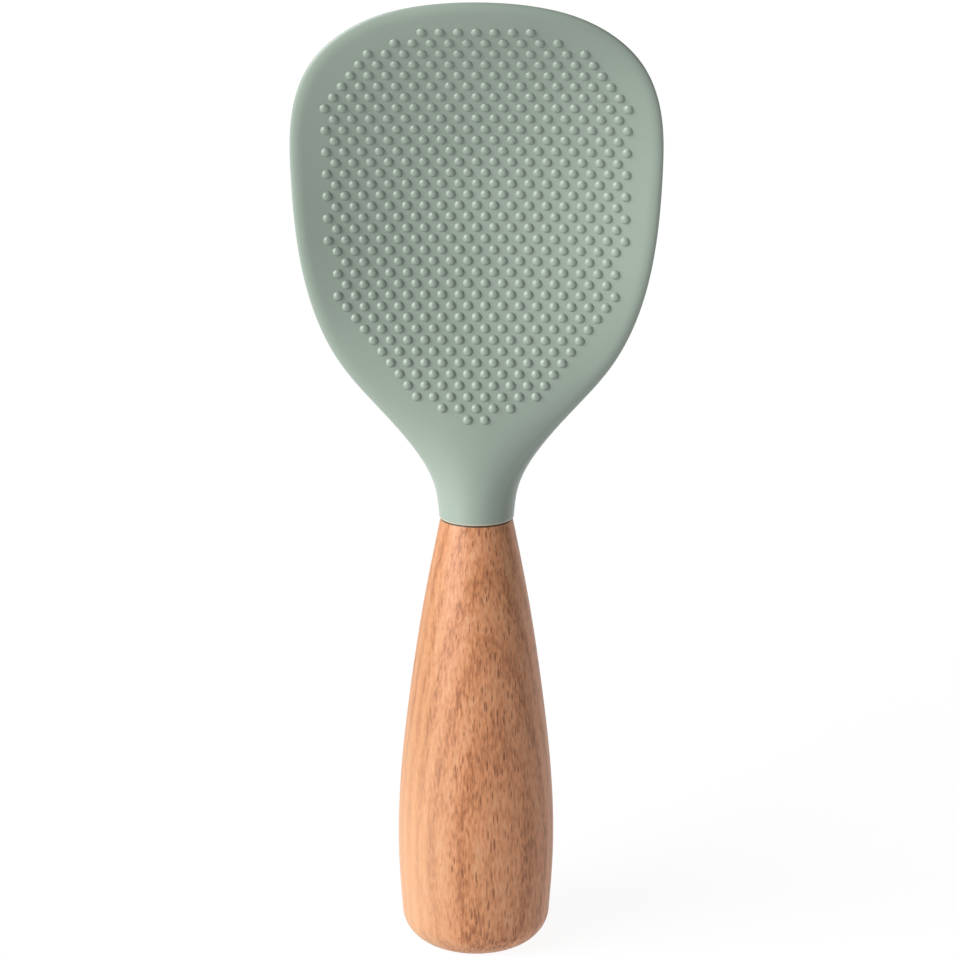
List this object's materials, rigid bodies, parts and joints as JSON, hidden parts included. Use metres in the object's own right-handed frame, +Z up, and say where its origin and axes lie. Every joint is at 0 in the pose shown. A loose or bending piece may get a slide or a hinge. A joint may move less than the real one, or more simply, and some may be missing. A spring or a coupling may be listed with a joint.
{
  "type": "rice paddle",
  "caption": "Stand-up rice paddle: a broad, dished silicone blade covered in small raised dots, on a turned beech handle with a flat foot that lets it stand.",
  "frame": {"origin": "centre of the flat foot at the bottom of the handle", "axes": "+Z up the axis of the handle towards the blade's tip, X across the width of the blade, and the dished face of the blade looks towards -Y"},
  "size_m": [0.0776, 0.0439, 0.2142],
  "materials": {
    "silicone": "matte sage green",
    "nylon": "moulded, hidden",
    "glue": "cured, hidden",
    "beech": "sanded and oiled"
  },
  "bodies": {
    "root": {"silicone_blade": "silicone", "stiffening_core": "nylon", "tang_glue": "glue", "beech_handle": "beech"}
  },
  "joints": []
}
